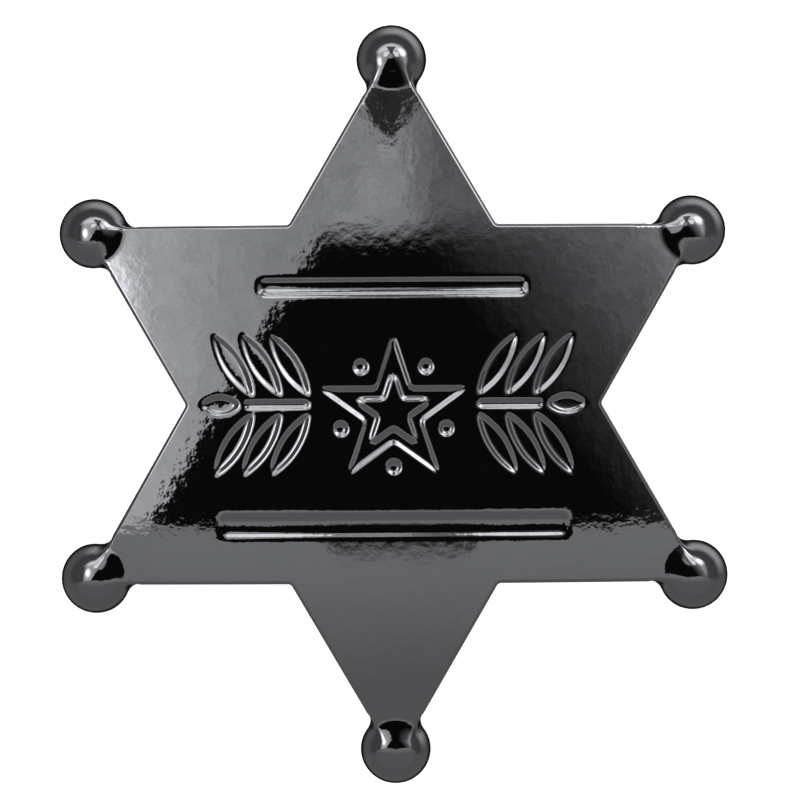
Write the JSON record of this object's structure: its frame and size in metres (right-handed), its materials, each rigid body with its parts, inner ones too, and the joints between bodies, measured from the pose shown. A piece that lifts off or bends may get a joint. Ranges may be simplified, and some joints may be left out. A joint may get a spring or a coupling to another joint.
{
  "type": "star badge",
  "caption": "Domed six-pointed star badge of dark polished metal, a ball on every point, sunk bars, small star and laurel, and a brooch pin behind.",
  "frame": {"origin": "on the surface that the badge lies on, under the middle of the star", "axes": "+Z out of the front face, +Y towards the top ball, +X to the wearer's left, which is the right of the badge as seen"},
  "size_m": [0.0666, 0.0758, 0.0061],
  "materials": {
    "black_nickel": "polished black nickel plate over cast zinc alloy, with a faint orange-peel ripple",
    "pin_steel": "plain bright nickel-plated steel"
  },
  "bodies": {
    "root": {"star_plate": "black_nickel", "brooch_pin": "pin_steel"}
  },
  "joints": []
}
